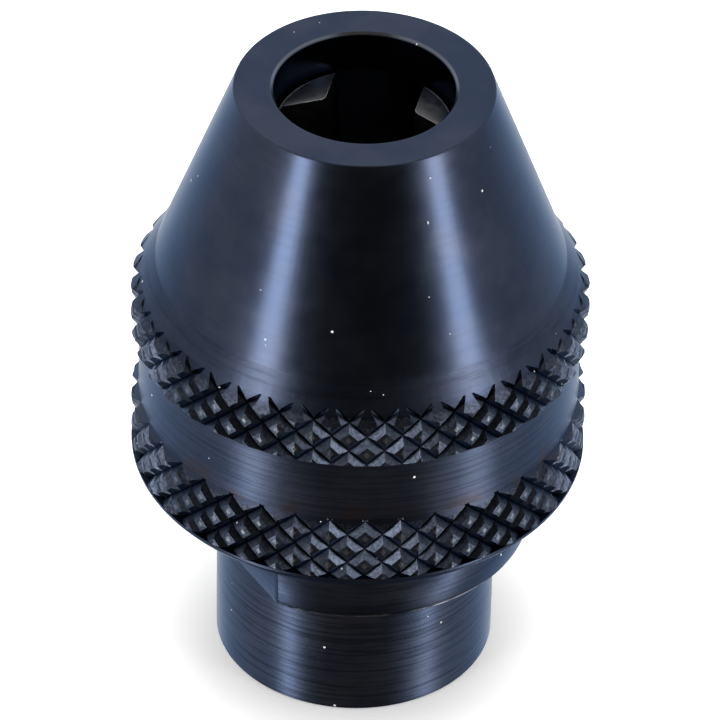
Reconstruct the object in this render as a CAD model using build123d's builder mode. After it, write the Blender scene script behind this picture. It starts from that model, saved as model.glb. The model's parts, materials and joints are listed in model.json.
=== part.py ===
"""Keyless three-jaw drill chuck, drawn fully open.

A tapered nose sleeve screws onto a hub. Three jaws, each a third of a cone, stand on a thrust
washer inside the sleeve with a small coil spring between each pair. Screwing the sleeve down
wedges the jaws together, and their tips then stand out of the nose.

Millimetres. +Z runs along the chuck's axis towards the nose. The origin is the centre of the
hub's rear face, where the spindle thread opens.
"""

import os
from math import cos, radians, sin, sqrt

from build123d import *

# Travel from fully open to fully closed
sleeve_travel = 5.0
jaw_travel = 1.8
taper = jaw_travel / sleeve_travel

# Hub
shank_radius = 5.2
shank_height = 5.7
collar_radius = 6.5
collar_top = 7.6
across_flats = 11.0
flat_angle = 44.0
relief_radius = 6.1
thread_start = 8.0
hub_height = 11.8
operating_thread_radius = 6.75
thread_clearance = 0.05
spindle_hole_radius = 3.594
spindle_hole_depth = 8.5
passage_radius = 2.2

# Thrust washer
washer_thickness = 0.8
washer_radius = 5.3

# Sleeve, outside
sleeve_bottom = 8.62
sleeve_bottom_radius = 8.1
nose_height = 25.1
nose_radius = 4.7
cone_base_radius = 7.5
cone_base_height = 17.6
shoulder_radius = 8.02
shoulder_height = 16.7
band_radius = 8.4
upper_band_top = 16.15
upper_band_bottom = 14.45
groove_radius = 8.1
groove_top = 14.2
groove_bottom = 12.4
runout_radius = 8.14
runout_height = 11.75
lower_band_top = 11.4
lower_band_bottom = 8.98

# Sleeve, inside
nose_hole_radius = 3.28
nose_hole_lip = 0.1
nose_hole_bottom = 23.5
taper_bottom = 17.0

# Jaws and the springs between them
jaw_count = 3
first_jaw_angle = 30.0
jaw_bottom = hub_height + washer_thickness
jaw_top = 23.6
jaw_point_radius = 1.9
grip_flat_radius = 1.95
jaw_tip_radius = 1.85
jaw_outer_limit = 6.45
closed_taper_gap = 0.08
open_taper_gap = 0.12
pocket_height = 15.5
pocket_along_face = 2.3
pocket_radius = 0.85
pocket_depth = 1.5
spring_outer_radius = 0.75
wire_radius = 0.125
spring_turns = 9
spring_end_gap = 0.05

edge = 0.15


def taper_radius(height):
    """Radius of the sleeve's inner taper at a height, with the chuck open."""
    return nose_hole_radius + taper * (nose_hole_bottom - height)


def direction(angle):
    """Unit vector across the axis at an angle in degrees."""
    return Vector(cos(radians(angle)), sin(radians(angle)), 0)


# --- Hub: shank, collar with two wrench flats, operating thread, stepped hole -------------
with BuildPart() as hub:
    with BuildSketch(Plane.XZ):
        with BuildLine():
            Polyline(
                (spindle_hole_radius + 2 * edge, 0),
                (shank_radius - edge / 2, 0),
                (shank_radius, edge / 2),
                (shank_radius, shank_height),
                (collar_radius, shank_height),
                (collar_radius, collar_top),
                (relief_radius, collar_top),
                (relief_radius, thread_start),
                (operating_thread_radius - 2 * edge, thread_start),
                (operating_thread_radius, thread_start + 2 * edge),
                (operating_thread_radius, hub_height - 2 * edge),
                (operating_thread_radius - 2 * edge, hub_height),
                (passage_radius + edge, hub_height),
                (passage_radius, hub_height - edge),
                (passage_radius, spindle_hole_depth + 1.0),
                (spindle_hole_radius, spindle_hole_depth),
                (spindle_hole_radius, 2 * edge),
                close=True,
            )
        make_face()
    revolve(axis=Axis.Z)
    with BuildSketch(Plane((0, 0, shank_height), x_dir=direction(flat_angle), z_dir=(0, 0, 1))):
        Rectangle(4 * collar_radius, 4 * collar_radius)
        Rectangle(across_flats, 4 * collar_radius, mode=Mode.SUBTRACT)
    extrude(amount=collar_top - shank_height, mode=Mode.SUBTRACT)
hub.part.label = "hub"

# --- Thrust washer: carries the jaws on the hub's front face -------------------------------
with BuildPart() as thrust_washer:
    with BuildSketch(Plane.XY.offset(hub_height)):
        Circle(washer_radius)
        Circle(passage_radius, mode=Mode.SUBTRACT)
    extrude(amount=washer_thickness)
    chamfer(thrust_washer.edges().filter_by(GeomType.CIRCLE), length=edge / 2)
thrust_washer.part.label = "thrust_washer"

# --- Sleeve: tapered nose, two grip bands with a groove between, threaded skirt ------------
with BuildPart() as sleeve:
    bore_radius = operating_thread_radius + thread_clearance
    with BuildSketch(Plane.XZ):
        with BuildLine():
            Polyline(
                (bore_radius + edge, sleeve_bottom),
                (sleeve_bottom_radius, sleeve_bottom),
                (band_radius, lower_band_bottom),
                (band_radius, lower_band_top),
                (runout_radius, runout_height),
                (groove_radius, groove_bottom),
                (groove_radius, groove_top),
                (band_radius, upper_band_bottom),
                (band_radius, upper_band_top),
                (shoulder_radius, shoulder_height),
                (cone_base_radius, cone_base_height),
                (nose_radius, nose_height),
                (nose_hole_radius + nose_hole_lip, nose_height),
                (nose_hole_radius, nose_height - nose_hole_lip),
                (nose_hole_radius, nose_hole_bottom),
                (taper_radius(taper_bottom), taper_bottom),
                (bore_radius, taper_bottom),
                (bore_radius, sleeve_bottom + edge),
                close=True,
            )
        make_face()
    revolve(axis=Axis.Z)
    sharp_rims = sleeve.edges().filter_by(GeomType.CIRCLE).group_by(Axis.Z)[-1].sort_by(SortBy.RADIUS)
    fillet(sharp_rims[-1], radius=edge)
sleeve.part.label = "sleeve"


def make_jaw(angle):
    """One jaw: a 120 degree wedge, trimmed to the sleeve's taper both open and closed."""
    outward = direction(angle)
    closed_axis = outward * jaw_travel
    crest = taper_radius(jaw_bottom + sleeve_travel) - closed_taper_gap
    waist = nose_hole_radius - closed_taper_gap
    waist_height = nose_hole_bottom - sleeve_travel
    open_step = nose_hole_bottom - (jaw_outer_limit - nose_hole_radius + open_taper_gap) / taper
    with BuildPart() as jaw:
        with BuildSketch(Plane(origin=closed_axis, x_dir=(1, 0, 0), z_dir=(0, -1, 0))):
            with BuildLine():
                Polyline(
                    (0, jaw_bottom),
                    (crest, jaw_bottom),
                    (waist, waist_height),
                    (jaw_tip_radius, jaw_top),
                    (0, jaw_top),
                    close=True,
                )
            make_face()
        revolve(axis=Axis(closed_axis, (0, 0, 1)))
        with BuildSketch(Plane.XZ):
            with BuildLine():
                Polyline(
                    (0, jaw_bottom),
                    (jaw_outer_limit - edge, jaw_bottom),
                    (jaw_outer_limit, jaw_bottom + edge),
                    (jaw_outer_limit, open_step),
                    (nose_hole_radius - open_taper_gap, nose_hole_bottom),
                    (nose_hole_radius - open_taper_gap, jaw_top - edge),
                    (nose_hole_radius - open_taper_gap - edge, jaw_top),
                    (0, jaw_top),
                    close=True,
                )
            make_face()
        revolve(axis=Axis.Z, mode=Mode.INTERSECT)
        half_flat = (grip_flat_radius - jaw_point_radius) * sqrt(3)
        far = jaw_outer_limit * 2
        with BuildSketch(Plane((0, 0, jaw_bottom), x_dir=outward, z_dir=(0, 0, 1))):
            with BuildLine():
                Polyline(
                    (grip_flat_radius, -half_flat),
                    (jaw_point_radius + far / sqrt(3), -far),
                    (jaw_point_radius + far / sqrt(3), far),
                    (grip_flat_radius, half_flat),
                    close=True,
                )
            make_face()
        extrude(amount=jaw_top - jaw_bottom, mode=Mode.INTERSECT)
        for side in (-1, 1):
            along_face = direction(angle + 60 * side)
            into_jaw = direction(angle - 30 * side)
            mouth = outward * jaw_point_radius + along_face * pocket_along_face
            mouth = mouth + Vector(0, 0, pocket_height)
            with BuildSketch(Plane(origin=mouth, x_dir=(0, 0, 1), z_dir=into_jaw)):
                Circle(pocket_radius)
            extrude(amount=pocket_depth, mode=Mode.SUBTRACT)
    return jaw.part


def make_spring(angle):
    """One coil spring across the gap between two jaws, its ends in their pockets."""
    inward_offset = jaw_point_radius * cos(radians(60)) + pocket_along_face
    half_gap = jaw_point_radius * sin(radians(60))
    half_length = half_gap + pocket_depth - spring_end_gap
    coil_radius = spring_outer_radius - wire_radius
    coil_length = 2 * (half_length - wire_radius)
    middle = direction(angle) * inward_offset + Vector(0, 0, pocket_height)
    along = direction(angle + 90)
    with BuildPart() as spring:
        with BuildLine():
            coil = Helix(coil_length / spring_turns, coil_length, coil_radius)
        with BuildSketch(Plane(origin=coil @ 0, x_dir=(1, 0, 0), z_dir=coil % 0)):
            Circle(wire_radius)
        sweep(path=coil, is_frenet=True)
    upright = spring.part
    return Plane(origin=middle - along * (coil_length / 2), x_dir=(0, 0, 1), z_dir=along).location * upright


os.makedirs("parts", exist_ok=True)
export_step(hub.part, "parts/hub.step")
export_step(thrust_washer.part, "parts/thrust_washer.step")
export_step(sleeve.part, "parts/sleeve.step")

for number in range(1, jaw_count + 1):
    jaw_angle = first_jaw_angle + (number - 1) * 360 / jaw_count
    jaw_part = make_jaw(jaw_angle)
    jaw_part.label = "jaw_%d" % number
    export_step(jaw_part, "parts/jaw_%d.step" % number)
    spring_part = make_spring(jaw_angle + 180 / jaw_count)
    spring_part.label = "jaw_spring_%d" % number
    export_step(spring_part, "parts/jaw_spring_%d.step" % number)
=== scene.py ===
"""A small keyless drill chuck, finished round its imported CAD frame.

The sleeve and the hub are turned, knurled and threaded here as solid pieces, the jaws get their
broken edges, and the springs are wound. Lengths are written in millimetres and turned to metres
where a mesh is made. Z is the chuck's axis, from the spindle socket towards the nose.
"""

import json
from math import atan2, cos, pi, radians, sin

import bmesh
import bpy
from mathutils import Matrix, Vector

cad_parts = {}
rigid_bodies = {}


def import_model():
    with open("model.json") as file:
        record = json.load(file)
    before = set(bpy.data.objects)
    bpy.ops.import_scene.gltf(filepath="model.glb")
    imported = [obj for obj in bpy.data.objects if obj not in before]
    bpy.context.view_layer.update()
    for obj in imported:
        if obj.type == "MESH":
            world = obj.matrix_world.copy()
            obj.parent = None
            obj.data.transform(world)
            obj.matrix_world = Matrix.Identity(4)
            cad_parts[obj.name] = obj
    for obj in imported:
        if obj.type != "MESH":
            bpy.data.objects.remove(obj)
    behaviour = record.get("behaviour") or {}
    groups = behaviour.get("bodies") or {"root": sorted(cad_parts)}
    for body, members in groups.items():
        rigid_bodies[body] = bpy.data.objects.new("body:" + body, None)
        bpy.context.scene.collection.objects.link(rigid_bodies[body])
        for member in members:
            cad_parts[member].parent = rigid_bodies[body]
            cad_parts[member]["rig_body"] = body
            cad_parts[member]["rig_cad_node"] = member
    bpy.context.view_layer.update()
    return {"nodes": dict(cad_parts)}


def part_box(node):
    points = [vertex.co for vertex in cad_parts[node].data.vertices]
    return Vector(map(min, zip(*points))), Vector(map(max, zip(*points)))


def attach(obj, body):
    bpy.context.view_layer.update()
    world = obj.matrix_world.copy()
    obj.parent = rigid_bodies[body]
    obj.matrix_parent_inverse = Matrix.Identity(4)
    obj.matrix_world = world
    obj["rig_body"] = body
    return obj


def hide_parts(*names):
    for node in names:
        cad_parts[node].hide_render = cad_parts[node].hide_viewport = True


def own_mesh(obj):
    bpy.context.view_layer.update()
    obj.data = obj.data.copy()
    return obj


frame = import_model()

MM = 0.001
CENTRE = (0.0, 0.0, 0.0)
MERGE = 1e-7
TURN_STEPS = 160

# Sizes shared by several pieces, in millimetres
sleeve_low, sleeve_high = (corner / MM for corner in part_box("sleeve"))
hub_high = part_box("hub")[1] / MM
washer_low, washer_high = (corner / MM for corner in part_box("thrust_washer"))
EASE = 0.06


# ---------------------------------------------------------------------------------------------
# Workshop: the few moves that every piece is made with
# ---------------------------------------------------------------------------------------------
def deselect():
    """Leaves edit mode and lets go of everything."""
    if bpy.context.object and bpy.context.object.mode != "OBJECT":
        bpy.ops.object.mode_set(mode="OBJECT")
    bpy.ops.object.select_all(action="DESELECT")


def take(piece):
    """Makes one piece the only selected and active one."""
    deselect()
    piece.select_set(True)
    bpy.context.view_layer.objects.active = piece


def edit(piece, mode="VERT"):
    """Opens a piece in edit mode with nothing selected."""
    take(piece)
    bpy.ops.object.mode_set(mode="EDIT")
    bpy.ops.mesh.select_mode(type=mode)
    bpy.ops.mesh.select_all(action="DESELECT")


def leave():
    bpy.ops.object.mode_set(mode="OBJECT")


def choose(piece, kind, test):
    """Selects the vertices, edges or faces of the piece in edit mode that pass a test."""
    mesh = bmesh.from_edit_mesh(piece.data)
    bpy.ops.mesh.select_all(action="DESELECT")
    for element in getattr(mesh, kind):
        if test(element):
            element.select_set(True)
    mesh.select_flush_mode()
    bmesh.update_edit_mesh(piece.data)


def settle(piece):
    """Puts the place of a finished piece into its mesh, with its origin at the frame's."""
    take(piece)
    bpy.ops.object.transform_apply(location=True, rotation=True, scale=True)


def close_up(piece):
    """Merges doubles and turns all faces outwards."""
    edit(piece)
    bpy.ops.mesh.select_all(action="SELECT")
    bpy.ops.mesh.remove_doubles(threshold=MERGE)
    bpy.ops.mesh.normals_make_consistent(inside=False)
    leave()


def copy_of(source, name):
    """A copy of a piece, with its own mesh."""
    piece = source.copy()
    piece.data = source.data.copy()
    piece.name = name
    bpy.context.scene.collection.objects.link(piece)
    return piece


def apply_modifier(piece, kind, **settings):
    """Adds a modifier with the given settings and makes it part of the mesh."""
    take(piece)
    bpy.ops.object.modifier_add(type=kind)
    modifier = piece.modifiers[-1]
    for name, value in settings.items():
        setattr(modifier, name, value)
    bpy.ops.object.modifier_apply(modifier=modifier.name)


def cut(piece, tool, operation="DIFFERENCE"):
    """Joins a solid tool to a piece, or cuts it away, and removes the tool."""
    apply_modifier(piece, "BOOLEAN", object=tool, operation=operation, solver="EXACT")
    bpy.data.objects.remove(tool)


def smooth(piece, angle=30):
    take(piece)
    bpy.ops.object.shade_smooth_by_angle(angle=radians(angle))


def draw_outline(name, outline):
    """A chain of edges in the XZ plane through (radius, height) points."""
    deselect()
    start_radius, start_height = outline[0]
    bpy.ops.mesh.primitive_plane_add(size=MM, location=(start_radius * MM, 0, start_height * MM))
    piece = bpy.context.object
    piece.name = name
    bpy.ops.object.mode_set(mode="EDIT")
    bpy.ops.mesh.select_mode(type="VERT")
    bpy.ops.mesh.select_all(action="SELECT")
    bpy.ops.mesh.merge(type="CENTER")
    for (r0, z0), (r1, z1) in zip(outline, outline[1:]):
        step = ((r1 - r0) * MM, 0, (z1 - z0) * MM)
        bpy.ops.mesh.extrude_region_move(TRANSFORM_OT_translate={"value": step})
    leave()
    settle(piece)
    return piece


def turned(name, outline, eased=(), ease=EASE, steps=TURN_STEPS, closed=True):
    """A solid turned on Z, with the listed corners rounded off. An outline that starts and
    ends on the axis is left open there."""
    piece = draw_outline(name, list(outline) + [outline[0]] * closed)
    edit(piece)
    bpy.ops.mesh.select_all(action="SELECT")
    bpy.ops.mesh.remove_doubles(threshold=MERGE)
    corners = [Vector((r * MM, 0, z * MM)) for r, z in eased]
    if corners:
        choose(piece, "verts", lambda v: any((v.co - c).length < 1e-6 for c in corners))
        bpy.ops.mesh.bevel(offset=ease * MM, affect="VERTICES", segments=3)
    bpy.ops.mesh.select_all(action="SELECT")
    bpy.ops.mesh.spin(steps=steps, angle=2 * pi, center=CENTRE, axis=(0, 0, 1))
    leave()
    close_up(piece)
    return piece


def threaded_rod(name, pitch, crest, root, bottom, top, crest_share=0.15, steps=64):
    """A closed right-hand thread of trapezoid section between two heights."""
    flank = (1 - 2 * crest_share) / 2
    start = bottom - 2 * pitch
    outline = [
        (root, start),
        (root, start + crest_share * pitch),
        (crest, start + (crest_share + flank) * pitch),
        (crest, start + (2 * crest_share + flank) * pitch),
        (root, start + pitch),
    ]
    rod = draw_outline(name, outline)
    turns = int((top - start) / pitch) + 2
    apply_modifier(
        rod, "SCREW", axis="Z", angle=2 * pi, screw_offset=pitch * MM, iterations=turns,
        steps=steps, render_steps=steps, use_merge_vertices=True, merge_threshold=MERGE,
    )
    close_up(rod)
    for height, outwards in ((top, 1), (bottom, -1)):
        edit(rod)
        bpy.ops.mesh.select_all(action="SELECT")
        bpy.ops.mesh.bisect(
            plane_co=(0, 0, height * MM), plane_no=(0, 0, outwards), use_fill=True, clear_outer=True,
            threshold=MERGE,
        )
        leave()
    close_up(rod)
    return rod


# ---------------------------------------------------------------------------------------------
# Sleeve: tapered nose, two diamond-knurled bands with a plain groove between, threaded skirt
# ---------------------------------------------------------------------------------------------
TIP_RADIUS = sleeve_high.x
SKIRT_RADIUS = 8.1
LOWER_BAND_BOTTOM = 8.98
LOWER_BAND_TOP = 11.4
RUNOUT_RADIUS = 8.14
RUNOUT_TOP = 11.75
GROOVE_RADIUS = 8.1
UPPER_BAND_BOTTOM = 14.45
UPPER_BAND_TOP = 16.15
SHOULDER_RADIUS = 8.02
SHOULDER_TOP = 16.7
NOSE_HOLE = 3.28
NOSE_HOLE_LIP = 0.1
KNURLS = (("upper_knurl", 14.23, 16.72), ("lower_knurl", 9.12, 11.74))
KNURL_COLUMNS = 40
KNURL_ROOT = 8.12
KNURL_POINT = 8.41
# How high a diamond stands halfway down its side, as a share of its full height
KNURL_SWELL = 0.86
KNURL_START_ANGLE = radians(284.25)
KNURL_FIRST_ROW = 16.24
KNURL_STEP = 0.652
# How far in, in millimetres, the row above the first leans to follow the shoulder
KNURL_TAPER = 0.2
# Degrees between two faces that still count as one smooth face on the sleeve
SLEEVE_CREASE = 9
SKIRT_THREAD_MINOR = 6.55
SKIRT_THREAD_MAJOR = 7.0
OPERATING_PITCH = 1.0


def knurl_cutter(name, bottom, top):
    """A ring that leaves square diamonds standing when it is cut from a plain band."""
    rows_above = int((top - KNURL_FIRST_ROW) / KNURL_STEP) + 2
    first = KNURL_FIRST_ROW + rows_above * KNURL_STEP
    rows = int((first - bottom) / KNURL_STEP) + 2
    columns = 2 * KNURL_COLUMNS
    deselect()
    bpy.ops.mesh.primitive_circle_add(
        vertices=columns, radius=KNURL_ROOT * MM, fill_type="NOTHING", location=(0, 0, first * MM)
    )
    ring = bpy.context.object
    ring.name = name
    edit(ring)
    bpy.ops.mesh.select_all(action="SELECT")
    for _ in range(rows):
        bpy.ops.mesh.extrude_region_move(
            TRANSFORM_OT_translate={"value": (0, 0, -KNURL_STEP * MM)}
        )
    leave()
    ring.rotation_euler.z = KNURL_START_ANGLE - pi / 2
    settle(ring)

    def is_point(vertex):
        row = round((KNURL_FIRST_ROW - vertex.co.z / MM) / KNURL_STEP)
        angle = atan2(vertex.co.y, vertex.co.x) - KNURL_START_ANGLE
        column = round(angle / (2 * pi) * columns)
        return (row + column) % 2 == 0

    edit(ring)
    choose(ring, "verts", is_point)
    spread = KNURL_POINT / KNURL_ROOT
    bpy.ops.transform.resize(value=(spread, spread, 1), center_override=CENTRE)
    bpy.ops.mesh.select_all(action="SELECT")
    bpy.ops.mesh.quads_convert_to_tris(quad_method="SHORTEST_DIAGONAL")
    bpy.ops.mesh.subdivide(number_cuts=1)
    lattice = (KNURL_ROOT + KNURL_POINT) / 2
    choose(ring, "verts", lambda v: abs(v.co.xy.length / MM - lattice) < 0.02)
    spread = (KNURL_ROOT + KNURL_SWELL * (KNURL_POINT - KNURL_ROOT)) / lattice
    bpy.ops.transform.resize(value=(spread, spread, 1), center_override=CENTRE)
    # The subdivision left a row of vertices halfway between every two rows of diamonds
    for share in (0.5, 1):
        row_height = KNURL_FIRST_ROW + share * KNURL_STEP
        choose(ring, "verts", lambda v: abs(v.co.z / MM - row_height) < 0.05)
        spread = 1 - share * KNURL_TAPER / KNURL_ROOT
        bpy.ops.transform.resize(value=(spread, spread, 1), center_override=CENTRE)
    for height, outwards in ((top, 1), (bottom, -1)):
        bpy.ops.mesh.select_all(action="SELECT")
        bpy.ops.mesh.bisect(
            plane_co=(0, 0, height * MM), plane_no=(0, 0, outwards), clear_outer=True,
            threshold=MERGE,
        )
    bpy.ops.mesh.select_mode(type="EDGE")
    choose(ring, "edges", lambda e: e.is_boundary)
    bpy.ops.mesh.extrude_region_move(TRANSFORM_OT_translate={"value": CENTRE})
    bpy.ops.transform.resize(value=(1.15, 1.15, 1), center_override=CENTRE)
    bpy.ops.mesh.bridge_edge_loops()
    leave()
    close_up(ring)
    return ring


def make_sleeve():
    """The turned sleeve with its two knurls pressed in and its skirt threaded."""
    skirt_lead = 0.45
    nose_radius = 4.7
    nose_hole_bottom = 23.5
    taper_bottom = 17.0
    taper_wide = 5.62
    nose = sleeve_high.z
    bottom = sleeve_low.z
    outline = [
        (SKIRT_THREAD_MINOR + skirt_lead, bottom),
        (SKIRT_RADIUS, bottom),
        (TIP_RADIUS, LOWER_BAND_BOTTOM),
        (TIP_RADIUS, LOWER_BAND_TOP),
        (RUNOUT_RADIUS, RUNOUT_TOP),
        (GROOVE_RADIUS, 12.4),
        (GROOVE_RADIUS, 14.2),
        (TIP_RADIUS, UPPER_BAND_BOTTOM),
        (TIP_RADIUS, UPPER_BAND_TOP),
        (SHOULDER_RADIUS, SHOULDER_TOP),
        (7.5, 17.6),
        (nose_radius, nose),
        (NOSE_HOLE + NOSE_HOLE_LIP, nose),
        (NOSE_HOLE, nose - NOSE_HOLE_LIP),
        (NOSE_HOLE, nose_hole_bottom),
        (taper_wide, taper_bottom),
        (SKIRT_THREAD_MINOR, taper_bottom),
        (SKIRT_THREAD_MINOR, bottom + skirt_lead),
    ]
    eased = [(SKIRT_RADIUS, bottom), (TIP_RADIUS, LOWER_BAND_BOTTOM), (nose_radius, nose)]
    sleeve = turned("nose_sleeve", outline, eased)
    for name, bottom_edge, top_edge in KNURLS:
        cut(sleeve, knurl_cutter(name, bottom_edge, top_edge))
    thread = threaded_rod(
        "skirt_thread", OPERATING_PITCH, SKIRT_THREAD_MAJOR, SKIRT_THREAD_MINOR - 0.1,
        bottom - 0.5, taper_bottom - 0.4,
    )
    cut(sleeve, thread)
    close_up(sleeve)
    smooth(sleeve, SLEEVE_CREASE)
    return sleeve


# ---------------------------------------------------------------------------------------------
# Hub: plain shank, collar with two spanner flats, operating thread, spindle socket
# ---------------------------------------------------------------------------------------------
COLLAR_BOTTOM = 5.7
COLLAR_TOP = 7.6
ACROSS_FLATS = 11.0
FLAT_ANGLE = radians(44)
HUB_THREAD_MINOR = 6.45
HUB_THREAD_MAJOR = 6.93
SPINDLE_PITCH = 0.75
SPINDLE_MINOR = 3.594
SPINDLE_MAJOR = 4.0
SPINDLE_DEPTH = 8.5
PASSAGE = 2.2


def flat_block(angle, reach):
    """A block that planes one spanner flat across the collar."""
    bottom = COLLAR_BOTTOM - 0.5
    size = (reach * MM, 3 * reach * MM, (COLLAR_TOP - bottom) * MM)
    out = (ACROSS_FLATS + reach) / 2 * MM
    deselect()
    bpy.ops.mesh.primitive_cube_add(
        size=1, location=(out * cos(angle), out * sin(angle), (COLLAR_TOP + bottom) / 2 * MM),
        rotation=(0, 0, angle), scale=size,
    )
    block = bpy.context.object
    settle(block)
    return block


def make_hub():
    """The turned hub: flats planed on its collar, both threads cut and its socket drilled."""
    shank = 5.2
    shank_edge = 0.075
    collar = 6.5
    relief = 6.1
    thread_start = 8.0
    top = hub_high.z
    blank = [
        (0, 0),
        (shank - shank_edge, 0),
        (shank, shank_edge),
        (shank, COLLAR_BOTTOM),
        (collar, COLLAR_BOTTOM),
        (collar, COLLAR_TOP),
        (relief, COLLAR_TOP),
        (relief, top),
        (0, top),
    ]
    hub = turned("chuck_hub", blank, closed=False)
    for turn in (0, pi):
        cut(hub, flat_block(FLAT_ANGLE + turn, collar))
    edit(hub, "EDGE")
    choose(hub, "edges", lambda e: is_collar_rim(e, shank))
    bpy.ops.mesh.bevel(offset=EASE * MM, segments=2, affect="EDGES", clamp_overlap=True)
    leave()
    operating_thread = threaded_rod(
        "hub_thread", OPERATING_PITCH, HUB_THREAD_MAJOR, HUB_THREAD_MINOR, thread_start, top
    )
    cut(hub, operating_thread, "UNION")
    below = 0.5
    lead = SPINDLE_MAJOR + below
    drill = [
        (0, -below),
        (lead, -below),
        (SPINDLE_MINOR, lead - SPINDLE_MINOR - below),
        (SPINDLE_MINOR, SPINDLE_DEPTH),
        (PASSAGE, SPINDLE_DEPTH + 1.0),
        (PASSAGE, top - 0.15),
        (PASSAGE + 0.65, top + 0.5),
        (0, top + 0.5),
    ]
    cut(hub, turned("socket_drill", drill, closed=False))
    cut(hub, threaded_rod(
        "spindle_thread", SPINDLE_PITCH, SPINDLE_MAJOR, SPINDLE_MINOR - 0.1, -0.6, SPINDLE_DEPTH - 0.3
    ))
    close_up(hub)
    smooth(hub)
    return hub


def is_collar_rim(edge, shank):
    """True for the sharp outer edges of the collar, top and bottom."""
    heights = [v.co.z / MM for v in edge.verts]
    radii = [Vector((v.co.x, v.co.y)).length / MM for v in edge.verts]
    level = any(all(abs(h - rim) < 0.001 for h in heights) for rim in (COLLAR_BOTTOM, COLLAR_TOP))
    return level and min(radii) > shank + 0.2 and edge.calc_face_angle(0) > radians(60)


# ---------------------------------------------------------------------------------------------
# Thrust washer, jaws and the springs between them
# ---------------------------------------------------------------------------------------------
JAWS = ("jaw_1", "jaw_2", "jaw_3")
SPRING_ANGLES = {"jaw_spring_1": 90, "jaw_spring_2": 210, "jaw_spring_3": 330}
WIRE = 0.125
COIL_RADIUS = 0.625
SPRING_TURNS = 8
STEPS_PER_TURN = 28
POCKET_HEIGHT = 15.5
SPRING_OFFSET = 3.25
SPRING_OPEN = 6.1


def make_washer():
    inner = 2.2
    outline = [
        (inner, washer_low.z),
        (washer_high.x, washer_low.z),
        (washer_high.x, washer_high.z),
        (inner, washer_high.z),
    ]
    washer = turned("jaw_washer", outline, outline, ease=0.08)
    smooth(washer)
    return washer


def make_jaw(node):
    """A ground jaw with its sharp edges broken."""
    jaw = copy_of(frame["nodes"][node], "ground_" + node)
    jaw.parent = None
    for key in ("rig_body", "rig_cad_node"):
        del jaw[key]
    close_up(jaw)
    edit(jaw)
    bpy.ops.mesh.select_all(action="SELECT")
    bpy.ops.mesh.dissolve_limited(angle_limit=radians(0.5))
    leave()
    apply_modifier(
        jaw, "BEVEL", width=0.07 * MM, segments=2, limit_method="ANGLE", angle_limit=radians(35)
    )
    close_up(jaw)
    smooth(jaw, 25)
    return jaw


def make_spring():
    """One coil along Z about the origin, with capped ends."""
    deselect()
    bpy.ops.mesh.primitive_circle_add(
        vertices=12, radius=WIRE * MM, fill_type="NGON", location=(COIL_RADIUS * MM, 0, 0),
        rotation=(pi / 2, 0, 0),
    )
    spring = bpy.context.object
    settle(spring)
    length = (SPRING_OPEN - 2 * WIRE) * MM
    steps = STEPS_PER_TURN * SPRING_TURNS
    apply_modifier(
        spring, "SCREW", axis="Z", angle=2 * pi * SPRING_TURNS, screw_offset=length,
        steps=steps, render_steps=steps, use_merge_vertices=False,
    )
    spring.location.z = -length / 2
    settle(spring)
    edit(spring)
    bpy.ops.mesh.select_all(action="SELECT")
    bpy.ops.mesh.fill_holes(sides=0)
    leave()
    close_up(spring)
    smooth(spring, 60)
    return spring


def spring_middle(node):
    bearing = radians(SPRING_ANGLES[node])
    reach = SPRING_OFFSET * MM
    return (reach * cos(bearing), reach * sin(bearing), POCKET_HEIGHT * MM)


def place_spring(pattern, node):
    """A copy of the coil laid across the gap between two jaws."""
    spring = copy_of(pattern, "wound_" + node)
    spring.rotation_euler = (pi / 2, 0, radians(SPRING_ANGLES[node]))
    spring.location = spring_middle(node)
    settle(spring)
    return spring


# ---------------------------------------------------------------------------------------------
# Finishes
# ---------------------------------------------------------------------------------------------
def new_group(name, inputs, outputs):
    """An empty shader group with named float or vector sockets."""
    group = bpy.data.node_groups.new(name, "ShaderNodeTree")
    for socket, value in inputs.items():
        kind = "NodeSocketVector" if value is None else "NodeSocketFloat"
        made = group.interface.new_socket(socket, in_out="INPUT", socket_type=kind)
        if value is not None:
            made.default_value = value
    for socket in outputs:
        group.interface.new_socket(socket, in_out="OUTPUT", socket_type="NodeSocketFloat")
    return group, group.nodes.new("NodeGroupInput"), group.nodes.new("NodeGroupOutput")


def math(tree, operation, *values):
    """A Math node with its inputs set or linked, and its output."""
    node = tree.nodes.new("ShaderNodeMath")
    node.operation = operation
    for socket, value in zip(node.inputs, values):
        if isinstance(value, (int, float)):
            socket.default_value = value
        else:
            tree.links.new(value, socket)
    return node.outputs[0]


def ramp(tree, value, low, high, to_low=0.0, to_high=1.0):
    """A value stretched from one range to another, and held at its ends."""
    node = tree.nodes.new("ShaderNodeMapRange")
    node.interpolation_type = "SMOOTHSTEP"
    tree.links.new(value, node.inputs["Value"])
    node.inputs["From Min"].default_value = low
    node.inputs["From Max"].default_value = high
    node.inputs["To Min"].default_value = to_low
    node.inputs["To Max"].default_value = to_high
    return node.outputs["Result"]


def radius_and_height(tree, position):
    """Distance from the chuck's axis and height, both in millimetres."""
    parts = tree.nodes.new("ShaderNodeSeparateXYZ")
    tree.links.new(position, parts.inputs[0])
    x, y, z = parts.outputs
    square = math(tree, "ADD", math(tree, "MULTIPLY", x, x), math(tree, "MULTIPLY", y, y))
    radius = math(tree, "MULTIPLY", math(tree, "SQRT", square), 1000)
    return radius, math(tree, "MULTIPLY", z, 1000)


def noise(tree, vector, scale, detail=2.0, roughness=0.5):
    node = tree.nodes.new("ShaderNodeTexNoise")
    tree.links.new(vector, node.inputs["Vector"])
    node.inputs["Scale"].default_value = scale
    node.inputs["Detail"].default_value = detail
    node.inputs["Roughness"].default_value = roughness
    return node.outputs["Fac"]


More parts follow.
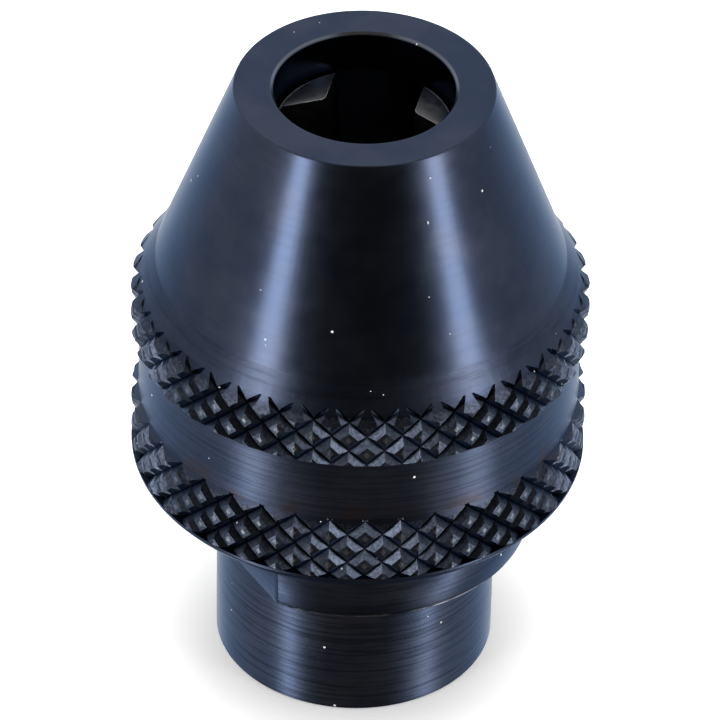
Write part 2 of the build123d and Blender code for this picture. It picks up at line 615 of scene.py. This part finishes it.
def turning_group():
    """Fine rings left by the lathe tool, on the sides and on the end faces."""
    group, inside, outside = new_group(
        "turning_rings", {"Position": None, "Rings per mm": 9.0}, ("Height",)
    )
    radius, height = radius_and_height(group, inside.outputs["Position"])
    travel = math(group, "ADD", height, math(group, "MULTIPLY", radius, 1.3))
    waver = noise(group, inside.outputs["Position"], 260, 1)
    travel = math(group, "ADD", travel, math(group, "MULTIPLY", waver, 0.05))
    line = math(group, "MULTIPLY", travel, inside.outputs["Rings per mm"])
    fine = group.nodes.new("ShaderNodeTexNoise")
    fine.noise_dimensions = "1D"
    group.links.new(line, fine.inputs["W"])
    fine.inputs["Scale"].default_value = 1.0
    fine.inputs["Detail"].default_value = 3.0
    fine.inputs["Roughness"].default_value = 0.65
    drawn_out = group.nodes.new("ShaderNodeMapping")
    drawn_out.inputs["Scale"].default_value = (1, 1, 13)
    group.links.new(inside.outputs["Position"], drawn_out.inputs["Vector"])
    streaks = noise(group, drawn_out.outputs["Vector"], 430, 3, 0.7)
    mixed = math(group, "ADD", math(group, "MULTIPLY", fine.outputs["Fac"], 0.5),
                 math(group, "MULTIPLY", streaks, 0.5))
    group.links.new(mixed, outside.inputs["Height"])
    return group


def speck_group():
    """Scattered specks of dust and lint."""
    group, inside, outside = new_group(
        "dust_specks", {"Position": None, "Share": 0.05, "Size": 0.1}, ("Mask",)
    )
    cells = group.nodes.new("ShaderNodeTexVoronoi")
    cells.inputs["Scale"].default_value = 2500
    group.links.new(inside.outputs["Position"], cells.inputs["Vector"])
    pick = group.nodes.new("ShaderNodeSeparateColor")
    group.links.new(cells.outputs["Color"], pick.inputs[0])
    chosen = math(group, "LESS_THAN", pick.outputs["Red"], inside.outputs["Share"])
    size = math(group, "MULTIPLY", inside.outputs["Size"], pick.outputs["Green"])
    near = math(group, "LESS_THAN", cells.outputs["Distance"], size)
    lint_place = group.nodes.new("ShaderNodeMapping")
    lint_place.inputs["Rotation"].default_value = (0.25, 0.4, 0)
    lint_place.inputs["Scale"].default_value = (1, 1, 0.16)
    group.links.new(inside.outputs["Position"], lint_place.inputs["Vector"])
    hairs = group.nodes.new("ShaderNodeTexVoronoi")
    hairs.inputs["Scale"].default_value = 2500
    group.links.new(lint_place.outputs["Vector"], hairs.inputs["Vector"])
    pick_hair = group.nodes.new("ShaderNodeSeparateColor")
    group.links.new(hairs.outputs["Color"], pick_hair.inputs[0])
    few = math(group, "MULTIPLY", inside.outputs["Share"], 0.3)
    hair = math(group, "MULTIPLY", math(group, "LESS_THAN", pick_hair.outputs["Red"], few),
                math(group, "LESS_THAN", hairs.outputs["Distance"], 0.06))
    dust = math(group, "MULTIPLY", chosen, near)
    group.links.new(math(group, "MAXIMUM", dust, hair), outside.inputs["Mask"])
    return group


# Each band's plain surface before knurling: its foot, then its slope's foot, top and top radius
KNURL_SKINS = (
    (9.13, LOWER_BAND_TOP, RUNOUT_TOP, RUNOUT_RADIUS),
    (14.25, UPPER_BAND_TOP, SHOULDER_TOP, SHOULDER_RADIUS),
)


def knurl_group():
    """Where the knurl has been pressed in, and how high a point stands there: 1 on a diamond's point and 0
    in a groove's root. The sleeve's finish uses the height to paint shade into the roots."""
    group, inside, outside = new_group("knurl_depth", {"Position": None}, ("Height", "Band"))
    radius, height = radius_and_height(group, inside.outputs["Position"])
    depth = ramp(group, radius, KNURL_ROOT + 0.01, KNURL_ROOT + 0.06)
    bands = []
    for bottom, slope_start, slope_end, top_radius in KNURL_SKINS:
        skin = group.nodes.new("ShaderNodeMapRange")
        group.links.new(height, skin.inputs["Value"])
        skin.inputs["From Min"].default_value = slope_start
        skin.inputs["From Max"].default_value = slope_end
        skin.inputs["To Min"].default_value = TIP_RADIUS + 0.01
        skin.inputs["To Max"].default_value = top_radius
        pressed = math(group, "LESS_THAN", radius, math(group, "SUBTRACT", skin.outputs[0], 0.006))
        outer = math(group, "GREATER_THAN", radius, KNURL_ROOT - 0.06)
        above = math(group, "GREATER_THAN", height, bottom)
        below = math(group, "LESS_THAN", height, slope_end)
        bands.append(math(group, "MULTIPLY", math(group, "MULTIPLY", above, below),
                          math(group, "MULTIPLY", pressed, outer)))
    band = math(group, "ADD", *bands)
    plain = math(group, "SUBTRACT", 1, band)
    group.links.new(math(group, "MAXIMUM", depth, plain), outside.inputs["Height"])
    group.links.new(band, outside.inputs["Band"])
    return group


BLUE_DARK = (0.036, 0.048, 0.080)
BLUE_LIGHT = (0.050, 0.060, 0.090)
RING_SHADE = (0.010, 0.013, 0.021)
FACET_DARK = (0.031, 0.037, 0.053)
FACET_LIGHT = (0.058, 0.069, 0.096)
# Painted shade: near-black laid into the roots of the knurl
PAINTED_GROOVE_SHADE = (0.006, 0.007, 0.011)
RUST_BROWN = (0.055, 0.032, 0.024)
# Lightened steel: wear on knurl points and the collar rim, and a painted highlight on the nose hole's lip
WEAR_AND_HIGHLIGHT_STEEL = (0.42, 0.44, 0.48)
DUST_GREY = (0.55, 0.56, 0.58)
# Bright jaw-tip edges: partly wear, partly a painted highlight
WORN_AND_HIGHLIGHT_EDGE = (0.75, 0.76, 0.78)
GROUPS = {"rings": turning_group(), "specks": speck_group(), "knurl": knurl_group()}


def use(tree, group, position, **settings):
    """Places one of the shared groups in a material, and gives its outputs."""
    node = tree.nodes.new("ShaderNodeGroup")
    node.node_tree = GROUPS[group]
    tree.links.new(position, node.inputs["Position"])
    for name, value in settings.items():
        node.inputs[name.replace("_", " ")].default_value = value
    return node.outputs


def new_finish(name):
    """A new material with its tree, its shader and the place on the piece."""
    finish = bpy.data.materials.new(name)
    finish.use_nodes = True
    tree = finish.node_tree
    shader = tree.nodes["Principled BSDF"]
    place = tree.nodes.new("ShaderNodeTexCoord").outputs["Object"]
    return finish, tree, shader, place


def blend_colours(tree, factor, first, second):
    """A colour between two others, each a tuple or another node's output."""
    node = tree.nodes.new("ShaderNodeMix")
    node.data_type = "RGBA"
    if isinstance(factor, (int, float)):
        node.inputs["Factor"].default_value = factor
    else:
        tree.links.new(factor, node.inputs["Factor"])
    for socket, value in ((node.inputs[6], first), (node.inputs[7], second)):
        if isinstance(value, tuple):
            socket.default_value = (*value, 1)
        else:
            tree.links.new(value, socket)
    return node.outputs[2]


def bump(tree, shader, height, strength, distance):
    """Lets a value that changes over the surface raise and lower it."""
    node = tree.nodes.new("ShaderNodeBump")
    node.inputs["Strength"].default_value = strength
    node.inputs["Distance"].default_value = distance
    tree.links.new(height, node.inputs["Height"])
    tree.links.new(node.outputs["Normal"], shader.inputs["Normal"])


def blued_steel(name, knurled):
    """Blue-black oxide over turned steel, with lathe rings, dust and worn edges. The knurled one also has
    darker pressed facets, painted shade in the knurl's roots, a painted highlight round the lip of the nose
    hole and a little rust beside the lower band."""
    finish, tree, shader, place = new_finish(name)
    rings = use(tree, "rings", place, Rings_per_mm=7.0)["Height"]
    specks = use(tree, "specks", place, Share=0.1, Size=0.13)["Mask"]
    patches = noise(tree, place, 380, 4, 0.6)
    grain = noise(tree, place, 9000, 2, 0.6)
    radius, height = radius_and_height(tree, place)
    blue = blend_colours(tree, ramp(tree, patches, 0.35, 0.7), BLUE_DARK, BLUE_LIGHT)
    polished = ramp(tree, height, 17.4, 17.8, 1.0, 0.22)
    ring_strength = 0.38 if knurled else 0.6
    dark_rings = math(tree, "MULTIPLY", ramp(tree, rings, 0.54, 0.40, 0.0, ring_strength), polished)
    blue = blend_colours(tree, dark_rings, blue, RING_SHADE)
    roughness = math(
        tree, "ADD", ramp(tree, patches, 0.3, 0.75, 0.21, 0.27), math(tree, "MULTIPLY", polished, 0.04)
    )
    relief = math(tree, "MULTIPLY", rings, polished)
    if knurled:
        depth = use(tree, "knurl", place)
        facets = blend_colours(tree, ramp(tree, grain, 0.35, 0.65), FACET_DARK, FACET_LIGHT)
        blue = blend_colours(tree, depth["Band"], blue, facets)
        # Painted shade: the knurl's roots are darkened almost to black, where shade falls between the
        # diamonds
        blue = blend_colours(tree, depth["Height"], PAINTED_GROOVE_SHADE, blue)
        roughness = math(tree, "ADD", roughness, math(tree, "MULTIPLY", depth["Band"], 0.06))
        plain = math(tree, "SUBTRACT", 1, depth["Band"])
        relief = math(tree, "ADD", math(tree, "MULTIPLY", relief, plain),
                      math(tree, "MULTIPLY", grain, depth["Band"]))
        rust_band = math(
            tree, "MULTIPLY", ramp(tree, height, 11.6, 11.8), ramp(tree, height, 12.5, 12.1)
        )
        rust = math(tree, "MULTIPLY", rust_band, ramp(tree, noise(tree, place, 700, 3), 0.48, 0.62))
        blue = blend_colours(tree, math(tree, "MULTIPLY", rust, 0.4), blue, RUST_BROWN)
        points = math(tree, "MULTIPLY", ramp(tree, radius, 8.385, 8.4), depth["Band"])
        # Painted highlight: the lip of the nose hole is painted lighter, for the light its rounded edge
        # catches
        hole_lip_highlight = math(
            tree, "MULTIPLY", ramp(tree, height, 25.0, 25.05), ramp(tree, radius, 3.40, 3.36)
        )
        wear_and_highlight = math(tree, "MAXIMUM", math(tree, "MULTIPLY", points, 0.25),
                      math(tree, "MULTIPLY", hole_lip_highlight, 0.3))
    else:
        low_rim = math(
            tree, "MULTIPLY", ramp(tree, height, 5.79, 5.72), ramp(tree, radius, 6.3, 6.42)
        )
        wear_and_highlight = math(tree, "MULTIPLY", low_rim, ramp(tree, noise(tree, place, 900, 3), 0.35, 0.6))
    # Lightens towards bare steel: wear on the knurl points and the collar rim, and the painted highlight on
    # the hole's lip
    colour = blend_colours(tree, wear_and_highlight, blue, WEAR_AND_HIGHLIGHT_STEEL)
    colour = blend_colours(tree, specks, colour, DUST_GREY)
    tree.links.new(colour, shader.inputs["Base Color"])
    shader.inputs["Specular Tint"].default_value = (0.60, 0.70, 0.88, 1)
    tree.links.new(math(tree, "SUBTRACT", 1, specks), shader.inputs["Metallic"])
    tree.links.new(math(tree, "MAXIMUM", roughness, specks), shader.inputs["Roughness"])
    bump(tree, shader, relief, 0.7, 0.012 * MM)
    return finish


def ground_steel(name, colour, worn, grit, bright_edges=0.0):
    """Bare steel with fine grinding scratches, a little oil staining and, where asked for, the tip's edges
    painted bright, partly as wear and partly as a painted highlight."""
    finish, tree, shader, place = new_finish(name)
    stretch = tree.nodes.new("ShaderNodeMapping")
    stretch.inputs["Scale"].default_value = (1, 1, 9)
    tree.links.new(place, stretch.inputs["Vector"])
    scratches = noise(tree, stretch.outputs["Vector"], grit, 3, 0.7)
    stains = noise(tree, place, 600, 3, 0.6)
    tone = blend_colours(tree, ramp(tree, stains, 0.35, 0.7), colour, worn)
    if bright_edges:
        facing = tree.nodes.new("ShaderNodeSeparateXYZ")
        tree.links.new(tree.nodes.new("ShaderNodeTexCoord").outputs["Normal"], facing.inputs[0])
        upward = facing.outputs[2]
        height = radius_and_height(tree, place)[1]
        # Painted highlight, partly wear: bevels round the top of a jaw's tip, picked out by which way they
        # face, are painted bright
        turned_edge = math(
            tree, "MULTIPLY", ramp(tree, upward, 0.15, 0.4), ramp(tree, upward, 0.985, 0.93)
        )
        at_tip = ramp(tree, height, 23.3, 23.45)
        rub_and_highlight = math(tree, "MULTIPLY", math(tree, "MULTIPLY", turned_edge, at_tip), bright_edges)
        tone = blend_colours(tree, rub_and_highlight, tone, WORN_AND_HIGHLIGHT_EDGE)
    tree.links.new(tone, shader.inputs["Base Color"])
    shader.inputs["Metallic"].default_value = 1.0
    tree.links.new(ramp(tree, scratches, 0.3, 0.7, 0.26, 0.42), shader.inputs["Roughness"])
    bump(tree, shader, scratches, 0.3, 0.006 * MM)
    return finish


def dress(piece, finish):
    piece.data.materials.clear()
    piece.data.materials.append(finish)


# ---------------------------------------------------------------------------------------------
# Stage: pale floor, soft side lights and the camera
# ---------------------------------------------------------------------------------------------
CAMERA_AZIMUTH = radians(11.8)
CAMERA_ELEVATION = 38.75
CAMERA_DISTANCE = 261.3 * MM
CAMERA_ROLL = radians(1.21)
LENS = 354
AIM_HEIGHT = 11.9
AIM_RIGHT = 0.048
AIM_UP = 0.535
PANEL_DISTANCE = 0.5
# Side panels: degrees to the right of the camera, degrees up, width and height in metres, watts
SIDE_PANELS = (
    (-48, 4, 0.11, 0.42, 1.25),
    (57, 4, 0.11, 0.42, 1.15),
    (-55, -38, 0.08, 0.3, 0.42),
    (64, -38, 0.08, 0.3, 0.34),
)


def bearing_from_camera(angle, elevation=0.0):
    """A unit vector turned to the right of the camera's bearing by an angle in degrees."""
    turn = CAMERA_AZIMUTH + radians(angle)
    lift = radians(elevation)
    return Vector((sin(turn) * cos(lift), -cos(turn) * cos(lift), sin(lift)))


def add_camera():
    target = Vector((0, 0, AIM_HEIGHT * MM))
    towards = bearing_from_camera(0, CAMERA_ELEVATION)
    turn = towards.to_track_quat("Z", "Y").to_matrix() @ Matrix.Rotation(CAMERA_ROLL, 3, "Z")
    aim = turn @ Vector((AIM_RIGHT * MM, AIM_UP * MM, 0))
    deselect()
    bpy.ops.object.camera_add(
        location=target + aim + towards * CAMERA_DISTANCE, rotation=turn.to_euler()
    )
    camera = bpy.context.object
    camera.data.lens = LENS
    camera.data.sensor_width = 36
    camera.data.clip_start = 0.01
    bpy.context.scene.camera = camera


def add_panel(angle, elevation, distance, width, height, power):
    """A soft panel that faces the chuck."""
    towards = bearing_from_camera(angle, elevation)
    centre = Vector((0, 0, 12 * MM))
    deselect()
    bpy.ops.object.light_add(
        type="AREA", location=centre + towards * distance,
        rotation=towards.to_track_quat("Z", "Y").to_euler(),
    )
    panel = bpy.context.object
    panel.data.shape = "RECTANGLE"
    panel.data.size = width
    panel.data.size_y = height
    panel.data.energy = power
    panel.visible_camera = False
    return panel


def add_floor():
    """A pale matt floor with a little light of its own, which softens the shade on it."""
    deselect()
    bpy.ops.mesh.primitive_plane_add(size=6)
    floor = bpy.context.object
    floor.name = "floor"
    paint = bpy.data.materials.new("floor_paint")
    paint.use_nodes = True
    shader = paint.node_tree.nodes["Principled BSDF"]
    shader.inputs["Base Color"].default_value = (0.93, 0.93, 0.93, 1)
    shader.inputs["Roughness"].default_value = 0.9
    shader.inputs["Specular IOR Level"].default_value = 0.0
    shader.inputs["Emission Color"].default_value = (1, 1, 1, 1)
    shader.inputs["Emission Strength"].default_value = 0.3
    floor.data.materials.append(paint)
    floor.visible_glossy = False
    floor.visible_shadow = False


def add_surround():
    """A white room, dark behind the camera and low down, as the polished steel sees it."""
    world = bpy.data.worlds.new("studio")
    bpy.context.scene.world = world
    world.use_nodes = True
    tree = world.node_tree
    background = tree.nodes["Background"]
    look = tree.nodes.new("ShaderNodeTexCoord").outputs["Generated"]
    parts = tree.nodes.new("ShaderNodeSeparateXYZ")
    tree.links.new(look, parts.inputs[0])
    x, y, z = parts.outputs
    ahead = bearing_from_camera(0)
    along = math(tree, "ADD", math(tree, "MULTIPLY", x, ahead.x), math(tree, "MULTIPLY", y, ahead.y))
    flat = math(tree, "SQRT", math(tree, "ADD", math(tree, "MULTIPLY", x, x), math(tree, "MULTIPLY", y, y)))
    facing = math(tree, "DIVIDE", along, math(tree, "MAXIMUM", flat, 0.001))
    deep = ramp(tree, z, -0.2, -0.5, 0.07, 0.22)
    open_side = ramp(tree, facing, cos(radians(32)), cos(radians(50)), 0.0, 0.62)
    front = math(tree, "ADD", deep, open_side)
    back = ramp(tree, facing, cos(radians(95)), cos(radians(150)), 0.0, 0.34)
    low = ramp(tree, z, -0.9, -0.72, 0.12, 1.0)
    round_about = math(tree, "MULTIPLY", math(tree, "ADD", front, back), low)
    seen = math(tree, "MAXIMUM", round_about, ramp(tree, z, 0.7, 0.9, 0.0, 0.34))
    direct = tree.nodes.new("ShaderNodeLightPath").outputs["Is Camera Ray"]
    level = tree.nodes.new("ShaderNodeMix")
    tree.links.new(direct, level.inputs["Factor"])
    tree.links.new(seen, level.inputs["A"])
    level.inputs["B"].default_value = 0.95
    tree.links.new(level.outputs["Result"], background.inputs["Strength"])
    warmth = ramp(tree, facing, cos(radians(25)), cos(radians(50)), 1.0, 0.0)
    warmth = math(tree, "MULTIPLY", warmth, math(tree, "SUBTRACT", 1, direct))
    tint = blend_colours(tree, warmth, (1.0, 1.0, 1.0), (1.0, 0.80, 0.66))
    tree.links.new(tint, background.inputs["Color"])


def light_the_stage():
    bpy.context.scene.view_settings.view_transform = "Standard"
    add_floor()
    add_surround()
    overhead = add_panel(0, 90, 1.5, 1.2, 1.2, 26.0)
    overhead.visible_glossy = False
    for angle, elevation, width, height, power in SIDE_PANELS:
        add_panel(angle, elevation, PANEL_DISTANCE, width, height, power)


# ---------------------------------------------------------------------------------------------
# Making and finishing
# ---------------------------------------------------------------------------------------------
add_camera()
light_the_stage()

sleeve_blue = blued_steel("blued_steel_knurled", True)
hub_blue = blued_steel("blued_steel_turned", False)
# Painted shade: the jaws' dark base tone stands partly for the shade inside the nose hole where they sit
jaw_steel = ground_steel("ground_jaw_steel", (0.15, 0.15, 0.155), (0.10, 0.10, 0.103), 2600, 0.8)
wire_steel = ground_steel("drawn_spring_wire", (0.36, 0.36, 0.38), (0.25, 0.25, 0.25), 3800)
washer_steel = ground_steel("ground_washer_steel", (0.34, 0.35, 0.36), (0.22, 0.22, 0.23), 1800)

sleeve = make_sleeve()
dress(sleeve, sleeve_blue)
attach(sleeve, "sleeve")
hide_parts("sleeve")

hub = make_hub()
dress(hub, hub_blue)
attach(hub, "hub")
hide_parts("hub")

washer = make_washer()
dress(washer, washer_steel)
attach(washer, "thrust_washer")
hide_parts("thrust_washer")

for node in JAWS:
    jaw = make_jaw(node)
    dress(jaw, jaw_steel)
    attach(jaw, node)
    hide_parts(node)

coil = make_spring()
for node, angle in SPRING_ANGLES.items():
    spring = place_spring(coil, node)
    dress(spring, wire_steel)
    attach(spring, node)
    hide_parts(node)
    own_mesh(spring)
bpy.data.objects.remove(coil)
